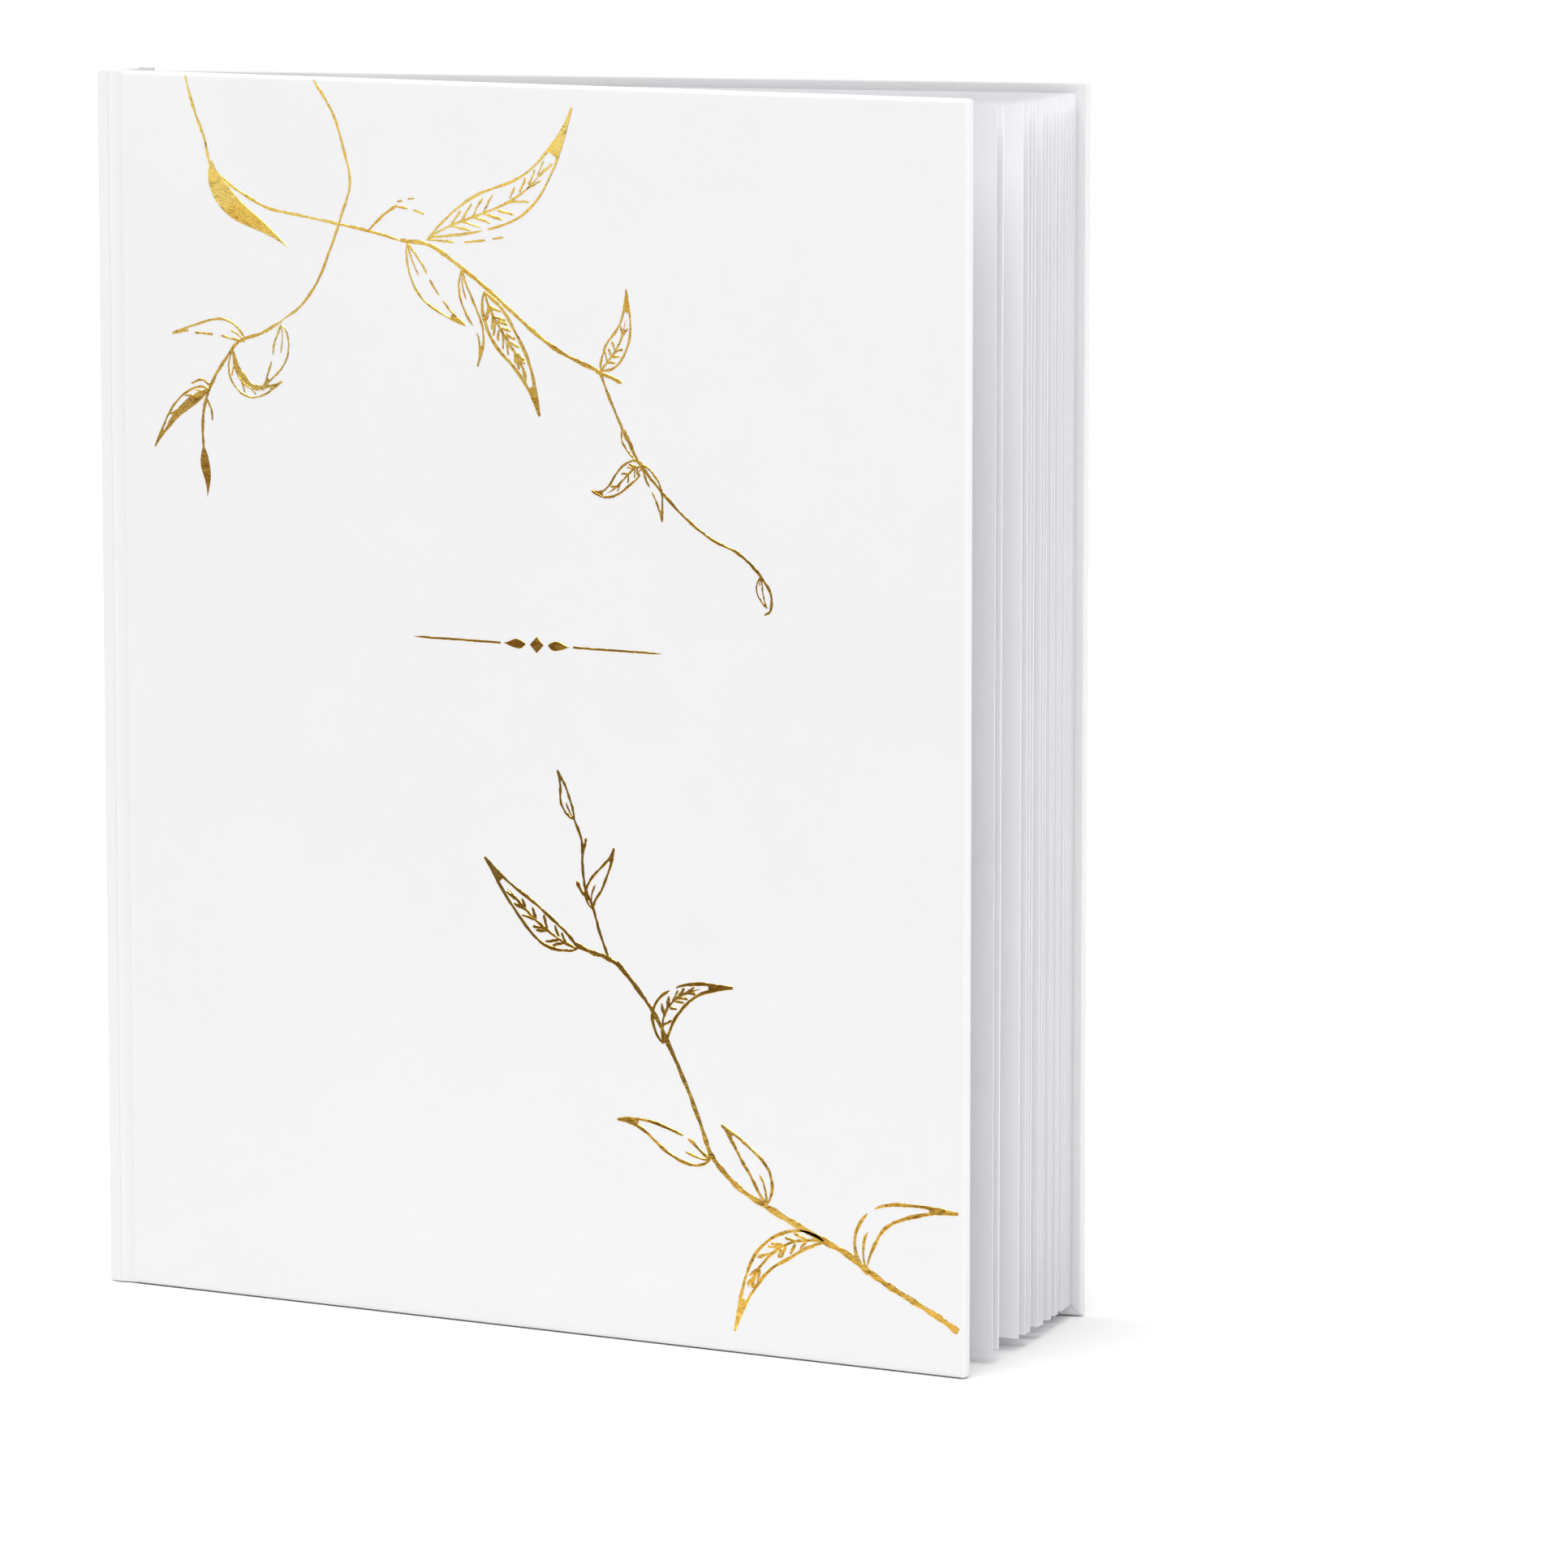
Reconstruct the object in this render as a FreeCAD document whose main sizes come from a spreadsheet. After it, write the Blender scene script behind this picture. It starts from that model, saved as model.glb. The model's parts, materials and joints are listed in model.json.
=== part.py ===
import FreeCAD, Part
import os
import Sketcher

# Case-bound guest book standing on its tail edge, slightly open.
# Millimetres. +Z is up, the front cover lies in a plane parallel to XZ and faces -Y,
# and the spine is at the -X end. The back cover and the leaves stand fanned open behind it.
# Every piece is drawn in the closed book and then turned into its standing pose.

doc = FreeCAD.newDocument("guest_book")

# ---------------------------------------------------------------- driving sizes
SIZES = [
    ("cover_height", 254.0),      # tail to head
    ("cover_width", 203.0),       # outer spine face to fore-edge
    ("half_depth", 6.6),          # middle of the closed book to an outer cover face
    ("covering", 0.25),           # covering paper
    ("board_depth", 2.4),         # grey board of both covers
    ("turned_in", 0.20),          # covering folded over the inside of a board
    ("pasted_sheet", 0.15),       # pastedown above the turn-ins
    ("turn_in_width", 15.0),
    ("paste_margin", 4.0),        # pastedown stops this far inside the cover edge
    ("edge_round", 0.80),         # soft outer edge of a covered board
    ("board_round", 0.55),        # the board's own edge, inside the covering
    ("spine_board_depth", 1.8),
    ("hinge_line", 3.0),          # hinge line of a cover, from the outer spine face
    ("hinge_gap", 0.10),          # clearance on each side of the hinge line
    ("groove_foot", 4.5),         # the covering reaches the bottom of the groove here
    ("board_line", 6.0),          # spine-side edge of a covered board
    ("groove_depth", 0.50),
    ("lining_depth", 0.35),
    ("root_depth", 3.30),         # bound root of the leaves
    ("leaf_line", 6.20),          # line about which the leaves turn
    ("leaf_height", 249.0),
    ("leaf_foot", 2.5),           # leaves stand this far above the tail edge
    ("leaf_reach", 195.4),        # turning line to fore-edge
    ("half_leaf", 0.15),          # half the thickness of a leaf
    ("half_fly", 0.12),           # half the thickness of a flyleaf
    ("thin_start", 0.80),         # a leaf begins this far from its turning line
    ("half_thin", 0.015),         # half its thickness there
    ("thin_end", 9.00),           # full thickness from here on
    ("foil", 0.05),               # stamped foil
    ("rule_left", 76.0),          # foil rule, from the outer spine face
    ("rule_right", 134.0),
    ("rule_half_width", 0.25),
    ("rule_middle", 105.0),
    ("rule_level", 141.0),        # height of the rule above the tail edge
    ("diamond_half", 1.80),
    ("origin_x", 101.5),          # middle of the standing book, from the outer spine face
    ("origin_y", 27.444),         # and from the middle of its closed depth
]

# Opening of the back cover, and the angle of every leaf from the front cover, front
# flyleaf first, in degrees. They hang together in small groups with wider gaps between, and
# neighbours stay at least 0.4 degrees apart so that they can fan past each other.
OPEN_ANGLE = 16.0
LEAF_ANGLES = [
    3.6, 4.4, 7.4, 8.3, 8.7, 9.1, 10.3, 10.7, 11.1,
    12.0, 12.4, 13.2, 13.6, 14.35, 14.75, 15.15, 15.55, 15.95,
]

sheet = doc.addObject("Spreadsheet::Sheet", "Sizes")
size = {}
for row, (alias, number) in enumerate(SIZES, start=1):
    sheet.set("A%d" % row, alias)
    sheet.set("B%d" % row, str(number))
    sheet.setAlias("B%d" % row, alias)
    size[alias] = number
doc.recompute()

cover_depth = size["covering"] + size["board_depth"] + size["turned_in"] + size["pasted_sheet"]
block_depth = 2 * size["half_depth"] - 2 * cover_depth
leaf_pitch = block_depth / len(LEAF_ANGLES)

UPRIGHT = FreeCAD.Vector(0, 0, 1)
# carries the closed book's corner frame to the row's origin, under the middle of the book
AT_REST = FreeCAD.Placement(FreeCAD.Vector(-size["origin_x"], -size["origin_y"], 0),
                            FreeCAD.Rotation())


# ---------------------------------------------------------------- helpers
def turned_about(x, y, degrees):
    """Standing placement of a piece turned about a vertical line of the closed book."""
    turn = FreeCAD.Placement(FreeCAD.Vector(0, 0, 0), FreeCAD.Rotation(UPRIGHT, degrees),
                             FreeCAD.Vector(x, y, 0))
    return AT_REST.multiply(turn)


def total(*terms):
    """Number and sheet expression for a sum of aliases; "-alias" is taken away."""
    number = 0.0
    expression = "0 mm"
    for term in terms:
        sign = "-" if term.startswith("-") else "+"
        alias = term.lstrip("-")
        number += -size[alias] if sign == "-" else size[alias]
        expression += " %s Sizes.%s * 1 mm" % (sign, alias)
    return number, expression


def opposite(pair):
    """The same distance on the other side of zero."""
    return -pair[0], "-(%s)" % pair[1]


def block(name, low, lengths, pose=AT_REST):
    """Box whose low corner is at low in the closed book; lengths are sums from total()."""
    piece = doc.addObject("Part::Box", name)
    for edge, (_, expression) in zip(("Length", "Width", "Height"), lengths):
        piece.setExpression(edge, expression)
    corner = FreeCAD.Placement(FreeCAD.Vector(*low), FreeCAD.Rotation())
    piece.Placement = pose.multiply(corner)
    return piece


def rounded(name, base, radius, keep=None):
    """Fillet on every edge of a block, or on those whose two ends keep() accepts."""
    doc.recompute()
    fillet = doc.addObject("Part::Fillet", name)
    fillet.Base = base
    local = base.Placement.inverse()
    chosen = []
    for number, edge in enumerate(base.Shape.Edges, start=1):
        ends = [local.multVec(vertex.Point) for vertex in edge.Vertexes]
        if keep is None or keep(ends[0], ends[1]):
            chosen.append((number, radius, radius))
    fillet.Edges = chosen
    return fillet


def fused(name, pieces):
    joined = doc.addObject("Part::MultiFuse", name)
    joined.Shapes = pieces
    return joined


def cut(name, base, tool):
    remainder = doc.addObject("Part::Cut", name)
    remainder.Base = base
    remainder.Tool = tool
    return remainder


def origin_plane(body, role):
    for feature in body.Origin.OriginFeatures:
        if feature.Role == role:
            return feature
    raise RuntimeError("no plane " + role)


def prism(name, role, corners, depth, pose=AT_REST):
    """PartDesign body: a closed polygon on an origin plane, padded by depth.

    corners holds pairs of sums from total(), measured on the plane.
    """
    body = doc.addObject("PartDesign::Body", name)
    sketch = body.newObject("Sketcher::SketchObject", name + "_outline")
    sketch.AttachmentSupport = [(origin_plane(body, role), "")]
    sketch.MapMode = "FlatFace"
    points = [FreeCAD.Vector(across[0], up[0], 0) for across, up in corners]
    for index, point in enumerate(points):
        following = points[(index + 1) % len(points)]
        sketch.addGeometry(Part.LineSegment(point, following))
    for index in range(len(points)):
        following = (index + 1) % len(points)
        sketch.addConstraint(Sketcher.Constraint("Coincident", index, 2, following, 1))
    for index, (across, up) in enumerate(corners):
        for kind, (number, expression) in (("DistanceX", across), ("DistanceY", up)):
            rule = sketch.addConstraint(Sketcher.Constraint(kind, -1, 1, index, 1, number))
            sketch.setExpression("Constraints[%d]" % rule, expression)
    pad = body.newObject("PartDesign::Pad", name + "_pad")
    pad.Profile = sketch
    pad.setExpression("Length", depth[1])
    body.Placement = pose
    return body


# ---------------------------------------------------------------- covers
def cover(side, facing, pose):
    """Board, covering and pastedown of one cover.

    facing is -1 for the front cover, whose outer face looks towards -Y, and 1 for the back.
    """
    skin = size["covering"]
    board_x = size["board_line"] + skin
    outer = facing * size["half_depth"]

    def low_y(inset, depth):
        """Low Y corner of a layer that starts inset below the outer face."""
        return outer + inset if facing < 0 else outer - inset - depth

    covered = total("covering", "board_depth", "turned_in")
    board_width = total("cover_width", "-board_line", "-covering", "-covering")
    board_height = total("cover_height", "-covering", "-covering")

    board_block = block(side + "_board_block", (board_x, low_y(skin, size["board_depth"]), skin),
                        (board_width, total("board_depth"), board_height), pose)
    board = rounded(side + "_board", board_block, size["board_round"])

    case_block = block(side + "_case_block",
                       (size["board_line"], low_y(0.0, covered[0]), 0.0),
                       (total("cover_width", "-board_line"), covered, total("cover_height")),
                       pose)
    case = rounded(side + "_case", case_block, size["edge_round"])

    def from_face(*terms):
        """Y measured inwards from the cover's outer face."""
        inward = total("-half_depth", *terms)
        return inward if facing < 0 else opposite(inward)

    strip_start = total("hinge_line", "hinge_gap")
    strip_end = total("board_line", "covering")
    hinge_strip = prism(side + "_hinge_strip", "XY_Plane", [
        (strip_start, from_face()),
        (total("groove_foot"), from_face("groove_depth")),
        (strip_end, from_face("groove_depth")),
        (strip_end, from_face("groove_depth", "covering")),
        (total("groove_foot"), from_face("groove_depth", "covering")),
        (strip_start, from_face("covering")),
    ], total("cover_height"), pose)

    # the covering turns in at head, tail and fore-edge and leaves the middle of the board bare
    border = size["turn_in_width"]
    window_width = total("cover_width", "-board_line", "-turn_in_width", "covering", "covering")
    window_height = total("cover_height", "-turn_in_width", "-turn_in_width")
    window = block(side + "_window",
                   (size["board_line"] - 2 * skin,
                    low_y(skin + size["board_depth"], size["turned_in"]), border),
                   (window_width, total("turned_in"), window_height), pose)

    shell = fused(side + "_shell", [case, hinge_strip])
    hollow = fused(side + "_hollow", [board, window])
    cut(side + "_wrap", shell, hollow)

    # the pastedown fills the bare middle and laps over the turn-ins
    margin = size["paste_margin"]
    top_sheet = block(side + "_top_sheet",
                      (board_x, low_y(covered[0], size["pasted_sheet"]), margin),
                      (total("cover_width", "-board_line", "-covering", "-paste_margin"),
                       total("pasted_sheet"),
                       total("cover_height", "-paste_margin", "-paste_margin")), pose)
    filling = block(side + "_filling",
                    (board_x, low_y(skin + size["board_depth"], size["turned_in"]), border),
                    (total("cover_width", "-board_line", "-turn_in_width", "-covering"),
                     total("turned_in"), window_height), pose)
    fused(side + "_pastedown", [top_sheet, filling])


cover("front", -1, AT_REST)
cover("back", 1, turned_about(size["hinge_line"], size["half_depth"], OPEN_ANGLE))

# ---------------------------------------------------------------- spine
skin = size["covering"]
half = size["half_depth"]
board_face = skin + size["spine_board_depth"]
lining_face = board_face + size["turned_in"]
root_face = lining_face + size["lining_depth"]

spine_block = block("spine_board_block", (skin, -half + skin, skin),
                    (total("spine_board_depth"),
                     total("half_depth", "half_depth", "-covering", "-covering"),
                     total("cover_height", "-covering", "-covering")))
spine_board = rounded("spine_board", spine_block, size["board_round"])

spine_case_block = block("spine_case_block", (0.0, -half, 0.0),
                         (total("hinge_line", "-hinge_gap"),
                          total("half_depth", "half_depth"),
                          total("cover_height")))


def on_spine_face(first, second):
    return first.x < 0.01 and second.x < 0.01


spine_case = rounded("spine_case", spine_case_block, size["edge_round"], on_spine_face)
spine_window = block("spine_window", (board_face, -half + skin, size["turn_in_width"]),
                     (total("turned_in"),
                      total("half_depth", "half_depth", "-covering", "-covering"),
                      total("cover_height", "-turn_in_width", "-turn_in_width")))
spine_inside = block("spine_inside", (lining_face, -half + skin, -1.0),
                     (total("hinge_line"),
                      total("half_depth", "half_depth", "-covering", "-covering"),
                      total("cover_height", "leaf_foot")))
spine_hollow = fused("spine_hollow", [spine_board, spine_window, spine_inside])
cut("spine_wrap", spine_case, spine_hollow)

lining = block("spine_lining", (lining_face, -block_depth / 2, 4 * size["leaf_foot"]),
               (total("lining_depth"), total("half_depth"), total("leaf_height")))
lining.setExpression("Width", "%s mm" % block_depth)
lining.setExpression("Height", "(Sizes.cover_height - 8 * Sizes.leaf_foot) * 1 mm")

root = block("bound_root", (root_face, -block_depth / 2, size["leaf_foot"]),
             (total("root_depth"), total("half_depth"), total("leaf_height")))
root.setExpression("Width", "%s mm" % block_depth)


# ---------------------------------------------------------------- leaves
def leaf(name, order, half_paper):
    """One leaf, thinned towards its root so that its neighbours can fan past it."""
    line_y = -block_depth / 2 + (order + 0.5) * leaf_pitch
    corners = [
        (total("thin_start"), opposite(total("half_thin"))),
        (total("thin_end"), opposite(total(half_paper))),
        (total("leaf_reach"), opposite(total(half_paper))),
        (total("leaf_reach"), total(half_paper)),
        (total("thin_end"), total(half_paper)),
        (total("thin_start"), total("half_thin")),
    ]
    stand = FreeCAD.Placement(FreeCAD.Vector(size["leaf_line"], line_y, size["leaf_foot"]),
                              FreeCAD.Rotation(UPRIGHT, LEAF_ANGLES[order]))
    prism(name, "XY_Plane", corners, total("leaf_height"), AT_REST.multiply(stand))


leaf_names = ["front_flyleaf"]
leaf_names += ["leaf_%02d" % number for number in range(1, len(LEAF_ANGLES) - 1)]
leaf_names += ["back_flyleaf"]
for order, name in enumerate(leaf_names):
    leaf(name, order, "half_fly" if name.endswith("flyleaf") else "half_leaf")

# ---------------------------------------------------------------- foil rule on the front
# A thin rule with a small diamond in its middle, on the outer face of the front cover.
left = total("rule_left")
right = total("rule_right")
middle = total("rule_middle")
level = total("rule_level")
foil_corners = [
    (left, total("rule_level", "-rule_half_width")),
    (total("rule_middle", "-diamond_half"), total("rule_level", "-rule_half_width")),
    (middle, total("rule_level", "-diamond_half")),
    (total("rule_middle", "diamond_half"), total("rule_level", "-rule_half_width")),
    (right, total("rule_level", "-rule_half_width")),
    (right, total("rule_level", "rule_half_width")),
    (total("rule_middle", "diamond_half"), total("rule_level", "rule_half_width")),
    (middle, total("rule_level", "diamond_half")),
    (total("rule_middle", "-diamond_half"), total("rule_level", "rule_half_width")),
    (left, total("rule_level", "rule_half_width")),
]
on_front = FreeCAD.Placement(FreeCAD.Vector(0, -half, 0), FreeCAD.Rotation())
prism("cover_foil", "XZ_Plane", foil_corners, total("foil"), AT_REST.multiply(on_front))

# ---------------------------------------------------------------- export
NODES = ["spine_board", "spine_wrap", "spine_lining", "bound_root",
         "front_board", "front_wrap", "front_pastedown", "cover_foil",
         "back_board", "back_wrap", "back_pastedown"] + leaf_names

doc.recompute()
for piece in doc.Objects:
    if "Invalid" in piece.State or "Error" in piece.State:
        raise RuntimeError("%s is %s" % (piece.Name, piece.State))

# the row's origin is the middle of the book's footprint
whole = FreeCAD.BoundBox()
for name in NODES:
    whole.add(doc.getObject(name).Shape.BoundBox)
print("book spans", whole)
if max(abs(whole.Center.x), abs(whole.Center.y), abs(whole.ZMin)) > 0.02:
    raise RuntimeError("the book does not stand on its origin")

os.makedirs("parts", exist_ok=True)
for name in NODES:
    piece = doc.getObject(name)
    piece.Label = name
    if piece.Shape.isNull() or not piece.Shape.isValid():
        raise RuntimeError(name + " has no valid shape")
    print("%-16s solids %d volume %.1f" % (name, len(piece.Shape.Solids), piece.Shape.Volume))
    piece.Shape.exportStep("parts/%s.step" % name)
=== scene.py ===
"""Wedding guest book standing on its tail edge, slightly open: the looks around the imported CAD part."""
import json
import math
import random

import bmesh
import bpy
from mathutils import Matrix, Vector


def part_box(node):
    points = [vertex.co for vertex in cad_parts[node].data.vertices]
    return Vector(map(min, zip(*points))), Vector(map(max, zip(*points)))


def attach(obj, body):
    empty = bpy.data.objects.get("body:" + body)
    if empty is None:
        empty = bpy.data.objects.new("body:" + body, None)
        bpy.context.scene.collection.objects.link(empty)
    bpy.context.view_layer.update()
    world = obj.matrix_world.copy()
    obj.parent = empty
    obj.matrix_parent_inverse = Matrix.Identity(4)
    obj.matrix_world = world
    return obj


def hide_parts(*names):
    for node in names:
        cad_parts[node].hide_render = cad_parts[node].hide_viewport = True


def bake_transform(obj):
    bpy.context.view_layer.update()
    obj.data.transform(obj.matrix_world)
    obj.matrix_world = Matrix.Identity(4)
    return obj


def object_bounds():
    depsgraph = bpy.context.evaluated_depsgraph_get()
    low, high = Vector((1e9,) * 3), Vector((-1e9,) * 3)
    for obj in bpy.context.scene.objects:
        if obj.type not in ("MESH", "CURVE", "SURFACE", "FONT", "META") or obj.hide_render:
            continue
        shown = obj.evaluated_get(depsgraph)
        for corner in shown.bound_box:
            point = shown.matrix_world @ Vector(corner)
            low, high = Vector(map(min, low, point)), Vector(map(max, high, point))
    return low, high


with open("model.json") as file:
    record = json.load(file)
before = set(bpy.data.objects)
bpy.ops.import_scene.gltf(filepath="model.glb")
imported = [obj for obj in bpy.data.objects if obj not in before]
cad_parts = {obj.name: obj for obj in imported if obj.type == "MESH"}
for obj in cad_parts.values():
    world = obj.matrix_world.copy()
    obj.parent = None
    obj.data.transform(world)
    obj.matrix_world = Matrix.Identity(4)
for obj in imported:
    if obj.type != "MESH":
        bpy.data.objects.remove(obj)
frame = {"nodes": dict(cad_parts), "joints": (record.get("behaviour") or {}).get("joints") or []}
cad_low, cad_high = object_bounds()
scene = bpy.context.scene

MM = 0.001
JOINTS = {joint["name"]: joint for joint in frame["joints"]}

# ------------------------------------------------------------------ where the CAD puts things
spine_low, spine_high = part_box("spine_wrap")
front_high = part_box("front_wrap")[1]
root_low, root_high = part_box("bound_root")
leaf_low, leaf_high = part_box("front_flyleaf")
SPINE_X = spine_low.x                 # outer face of the spine
FORE_X = front_high.x                 # fore-edge of the front cover
FRONT_Y = spine_low.y                 # outer face of the front cover
BACK_Y = spine_high.y                 # outer face of the back cover, closed
HEIGHT = spine_high.z
LEAF_FOOT, LEAF_HEAD = leaf_low.z, leaf_high.z
FRONT_HINGE = Vector(JOINTS["front_cover_hinge"]["pos_m"])
BACK_HINGE = Vector(JOINTS["back_cover_hinge"]["pos_m"])
OPENING = -JOINTS["back_cover_hinge"]["range_deg"][0]

COVERING = 0.25 * MM                  # covering paper
PAPER_ROUND = 0.11 * MM               # rounded edge of the covering where it lies alone
COVER_DEPTH = 2.85 * MM               # covered board, without the pastedown
EDGE_ROUND = 0.9 * MM                 # soft edge of a covered board
PASTE = 0.15 * MM                     # pastedown
PASTE_MARGIN = 4.0 * MM               # it stops this far inside the cover edge
FLAP_MARGIN = 0.55 * MM               # the turned-in covering lies flat from here
MITRE = 0.85                          # rise over run of the mitred turn-in ends
HINGE_X = FRONT_HINGE.x
BEND_LENGTH = 2.2 * MM                # the covering bends over this length beside a hinge line
BOARD_X = SPINE_X + 6.0 * MM          # spine-side edge of the boards
SPINE_DEPTH = 2.30 * MM               # covered spine board
GROOVE = 0.5 * MM                     # depth of the hinge groove
BEND_FOOT = 0.15 * MM                 # the hinge strip starts to climb this far before the board
BOARD_SHOULDER = 0.75 * MM            # the covered board is at full depth from here


def smooth(t):
    t = min(1.0, max(0.0, t))
    return t * t * (3 - 2 * t)


def lerp(a, b, t):
    return a + (b - a) * t


# ------------------------------------------------------------------ mesh helpers
def new_object(name, points, faces, look, smooth_faces=True):
    mesh = bpy.data.meshes.new(name)
    mesh.from_pydata([tuple(p) for p in points], [], faces)
    mesh.update()
    piece = bpy.data.objects.new(name, mesh)
    scene.collection.objects.link(piece)
    mesh.materials.append(look)
    if smooth_faces:
        mesh.shade_smooth()
        weighted = piece.modifiers.new("even_shading", "WEIGHTED_NORMAL")
        weighted.keep_sharp = True
        weighted.weight = 80
    return piece


SLAB_LEVELS = [0.004] + [k / 24 for k in range(1, 24)] + [0.996]


def ring(column, low, high, levels, arc_steps):
    """Closed ring round one column of a slab: up its outer side and down its inner side.

    column is (outer, inner, end inset, rounding radius), outer and inner as (x, y).
    """
    outer, inner, inset, radius = column
    middle = (Vector(outer) + Vector(inner)) / 2
    reach = (Vector(outer) - Vector(inner)) / 2
    half = reach.length
    reach = reach / half
    radius = min(radius, half * 0.98)
    arc = []
    for step in range(arc_steps + 1):
        angle = math.pi / 2 * step / arc_steps
        arc.append((half - radius + radius * math.sin(angle), radius - radius * math.cos(angle)))
    bottom = low + inset
    top = high - inset
    side = [(offset, bottom + rise) for offset, rise in arc]
    inside_low, inside_high = bottom + radius, top - radius
    side += [(half, lerp(inside_low, inside_high, level)) for level in levels]
    side += [(offset, top - rise) for offset, rise in reversed(arc)]
    points = [middle.to_3d() + reach.to_3d() * offset + Vector((0, 0, z)) for offset, z in side]
    points += [middle.to_3d() - reach.to_3d() * offset + Vector((0, 0, z))
               for offset, z in reversed(side)]
    return points


def slab(name, columns, low, high, look, arc_steps=4, place=None):
    """Closed slab through a row of columns; place(point) moves every point at the end."""
    rings = [ring(column, low, high, SLAB_LEVELS, arc_steps) for column in columns]
    size = len(rings[0])
    points = [p for r in rings for p in r]
    faces = []
    for i in range(len(rings) - 1):
        for j in range(size):
            k = (j + 1) % size
            faces.append((i * size + j, (i + 1) * size + j, (i + 1) * size + k, i * size + k))
    half = size // 2
    for base in (0, (len(rings) - 1) * size):
        for j in range(half - 1):
            a, b = base + j, base + j + 1
            c, d = base + size - 2 - j, base + size - 1 - j
            faces.append((a, d, c, b) if base else (a, b, c, d))
    if place:
        points = [place(p) for p in points]
    piece = new_object(name, points, faces, look)
    recalculate(piece)
    return piece


def recalculate(piece):
    """Weld doubled points and turn every face outward."""
    work = bmesh.new()
    work.from_mesh(piece.data)
    bmesh.ops.remove_doubles(work, verts=work.verts, dist=1e-8)
    bmesh.ops.recalc_face_normals(work, faces=work.faces)
    work.to_mesh(piece.data)
    work.free()


def mark_smooth(piece, degrees):
    """Smooth shading that keeps every edge sharper than this angle crisp."""
    piece.data.shade_smooth()
    piece.data.set_sharp_from_angle(angle=math.radians(degrees))


def normal_at(path, index):
    """Unit normal, to the left of its run, of a path of (x, y) points."""
    before, after = path[max(0, index - 1)], path[min(len(path) - 1, index + 1)]
    run = Vector((after[0] - before[0], after[1] - before[1])).normalized()
    return Vector((-run.y, run.x))


def swing(point, axis_point, degrees, start, length):
    """Turn a closed-book point about a vertical line, easing in over the bend beside it."""
    along = (point.x - start) / length
    angle = math.radians(degrees) * smooth(along)
    offset = point - axis_point
    c, s = math.cos(angle), math.sin(angle)
    return Vector((axis_point.x + offset.x * c - offset.y * s,
                   axis_point.y + offset.x * s + offset.y * c, point.z))


# ------------------------------------------------------------------ materials
def material(name, color, roughness, metallic=0.0, specular=0.5):
    made = bpy.data.materials.new(name)
    made.use_nodes = True
    nodes, links = made.node_tree.nodes, made.node_tree.links
    shader = nodes["Principled BSDF"]
    shader.inputs["Base Color"].default_value = (*color, 1)
    shader.inputs["Roughness"].default_value = roughness
    shader.inputs["Metallic"].default_value = metallic
    shader.inputs["Specular IOR Level"].default_value = specular
    coordinates = nodes.new("ShaderNodeTexCoord")
    return made, nodes, links, shader, coordinates.outputs["Object"]


def noise_node(nodes, links, vector, scale, detail=3.0, roughness=0.5, stretch=None):
    if stretch:
        mapping = nodes.new("ShaderNodeMapping")
        mapping.inputs["Scale"].default_value = stretch
        links.new(vector, mapping.inputs["Vector"])
        vector = mapping.outputs["Vector"]
    node = nodes.new("ShaderNodeTexNoise")
    node.inputs["Scale"].default_value = scale
    node.inputs["Detail"].default_value = detail
    node.inputs["Roughness"].default_value = roughness
    links.new(vector, node.inputs["Vector"])
    return node.outputs["Fac"]


def ramp_node(nodes, links, factor, stops):
    node = nodes.new("ShaderNodeValToRGB")
    elements = node.color_ramp.elements
    while len(elements) < len(stops):
        elements.new(0.5)
    for element, (position, color) in zip(elements, stops):
        element.position = position
        element.color = (*color, 1)
    links.new(factor, node.inputs["Fac"])
    return node.outputs["Color"]


def bump_node(nodes, links, height, strength, distance, below=None):
    node = nodes.new("ShaderNodeBump")
    node.inputs["Strength"].default_value = strength
    node.inputs["Distance"].default_value = distance
    links.new(height, node.inputs["Height"])
    if below is not None:
        links.new(below, node.inputs["Normal"])
    return node.outputs["Normal"]


def vary_roughness(nodes, links, shader, factor, low, high):
    node = nodes.new("ShaderNodeMapRange")
    node.inputs["To Min"].default_value = low
    node.inputs["To Max"].default_value = high
    links.new(factor, node.inputs["Value"])
    links.new(node.outputs["Result"], shader.inputs["Roughness"])


def paper(name, light, dark, roughness, grain, fibre, specular=0.35, sheen=0.0):
    """White paper: slow mottling in colour and roughness, a fine grain and soft fibres."""
    made, nodes, links, shader, place = material(name, light, roughness, specular=specular)
    mottle = noise_node(nodes, links, place, 45, 4)
    color = ramp_node(nodes, links, mottle, [(0.3, dark), (0.7, light)])
    links.new(color, shader.inputs["Base Color"])
    uneven = noise_node(nodes, links, place, 160, 3)
    vary_roughness(nodes, links, shader, uneven, roughness - 0.06, roughness + 0.08)
    fine = noise_node(nodes, links, place, 2600, 2)
    coarse = noise_node(nodes, links, place, 420, 4, 0.6, (1, 1, 0.55))
    first = bump_node(nodes, links, coarse, fibre, 0.00012)
    second = bump_node(nodes, links, fine, grain, 0.00004, first)
    links.new(second, shader.inputs["Normal"])
    shader.inputs["Sheen Weight"].default_value = sheen
    return made


COVER_PAPER = paper("cover_paper", (0.806, 0.809, 0.818), (0.795, 0.798, 0.809), 0.48, 0.5, 0.30,
                    specular=0.45, sheen=0.05)
ENDPAPER = paper("endpaper", (0.872, 0.869, 0.890), (0.858, 0.854, 0.878), 0.62, 0.4, 0.35)
LEAF_PAPER = paper("leaf_paper", (0.916, 0.912, 0.936), (0.899, 0.894, 0.924), 0.70, 0.6, 0.5)


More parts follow.
